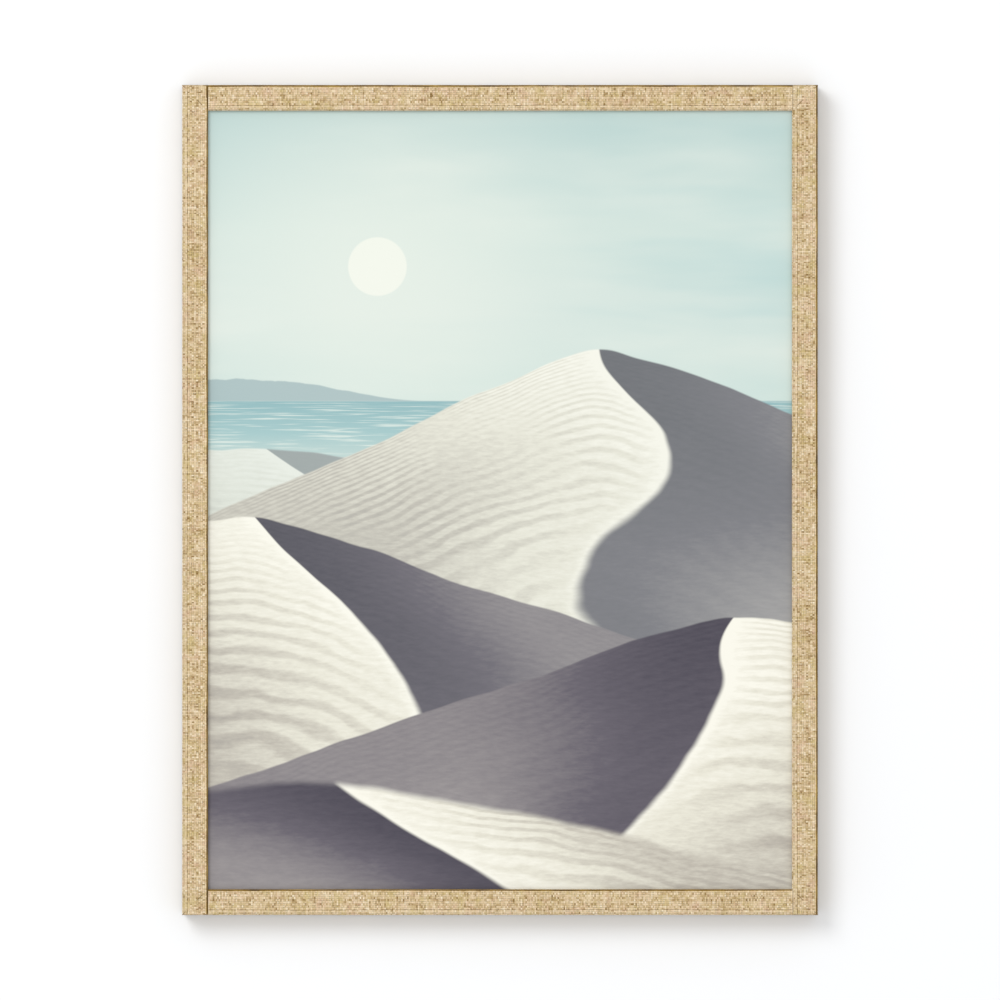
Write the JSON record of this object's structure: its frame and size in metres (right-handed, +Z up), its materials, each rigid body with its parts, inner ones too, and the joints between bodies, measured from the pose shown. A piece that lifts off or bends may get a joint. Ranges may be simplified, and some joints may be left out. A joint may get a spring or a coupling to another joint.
{
  "type": "framed print",
  "caption": "Portrait print in a narrow linen-covered wooden frame with butted corners, a hardboard back held by steel points, and a sawtooth hanger and bumpers for a wall.",
  "frame": {"origin": "on the wall plane, where the wall's nail bears in the hanger's middle notch", "axes": "+Z up along the picture's height, +X to the right as the picture is seen, +Y into the wall, so the picture faces -Y"},
  "size_m": [0.498, 0.025, 0.6504],
  "materials": {
    "linen": "coarse natural weave",
    "wood": "planed, bare",
    "print": "matt print",
    "board": "hardboard, rough side out",
    "steel": "zinc plated",
    "rubber": "matt"
  },
  "bodies": {
    "root": {"left_stile": "wood", "left_stile_linen": "linen", "left_stile_point_1": "steel", "left_stile_point_2": "steel", "left_stile_point_3": "steel", "right_stile": "wood", "right_stile_linen": "linen", "right_stile_point_1": "steel", "right_stile_point_2": "steel", "right_stile_point_3": "steel", "top_rail": "wood", "top_rail_linen": "linen", "top_rail_point_1": "steel", "top_rail_point_2": "steel", "bottom_rail": "wood", "bottom_rail_linen": "linen", "bottom_rail_point_1": "steel", "bottom_rail_point_2": "steel", "print": "print", "backing_board": "board", "hanger": "steel", "hanger_nail_left": "steel", "hanger_nail_right": "steel", "bumper_left": "rubber", "bumper_right": "rubber"}
  },
  "joints": []
}
